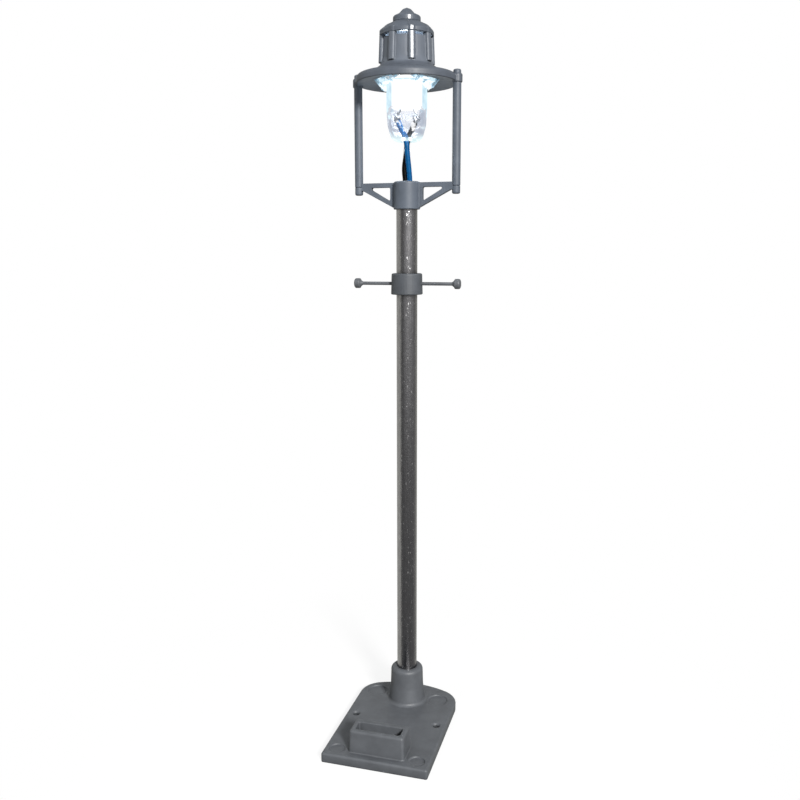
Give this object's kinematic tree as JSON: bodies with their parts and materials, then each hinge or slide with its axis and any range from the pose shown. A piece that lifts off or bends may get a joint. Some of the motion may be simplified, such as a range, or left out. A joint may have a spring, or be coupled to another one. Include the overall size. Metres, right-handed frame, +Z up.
{
  "type": "model yard lamp",
  "caption": "Scale-model railway yard lamp: lit lantern with canopy and clear globe on a tube mast with a ladder bar, on a moulded base plate with screw holes and a plug socket.",
  "frame": {"origin": "on the underside of the base plate, under the middle of the whole lamp's box; the mast axis stands 7.0 mm behind it", "axes": "+Z up along the mast, -Y to the front, the side with the plug socket, +X to the right seen from the front"},
  "size_m": [0.021, 0.033, 0.1373],
  "materials": {
    "moulding": "satin slate-grey moulded plastic",
    "tube": "drawn bright metal tube with fine streaks and stains",
    "globe": "clear, polished",
    "lens": "clear epoxy, lit",
    "chip": "phosphor-coated chip, lit",
    "leads": "tinned",
    "contacts": "bright strip",
    "blue_insulation": "soft satin",
    "black_insulation": "soft satin"
  },
  "bodies": {
    "mast": {"base_plate": "moulding", "mast_tube": "tube", "blue_wire_lower": "blue_insulation", "black_wire_lower": "black_insulation", "contact_left": "contacts", "contact_right": "contacts"},
    "ladder_bar": {"ladder_collar": "moulding", "ladder_rod_left": "moulding", "ladder_rod_right": "moulding"},
    "lantern": {"lantern_frame": "moulding", "left_post": "moulding", "right_post": "moulding", "canopy": "moulding", "chimney_cap": "moulding", "finial": "moulding", "globe": "globe", "globe_glue": "globe", "led_lens": "lens", "led_chip": "chip", "led_anode": "leads", "led_cathode": "leads", "blue_wire_upper": "blue_insulation", "black_wire_upper": "black_insulation", "solder_blue": "leads", "solder_black": "leads"}
  },
  "joints": [
    {"name": "ladder_bar_slide", "type": "slide", "parent": "mast", "child": "ladder_bar", "axis": [0, 0, 1], "range_m": [-0.0764, 0.01185]},
    {"name": "lantern_swivel", "type": "hinge", "parent": "mast", "child": "lantern", "pos_m": [0, 0.007, 0.105], "axis": [0, 0, 1], "range_deg": [-90, 90]}
  ]
}
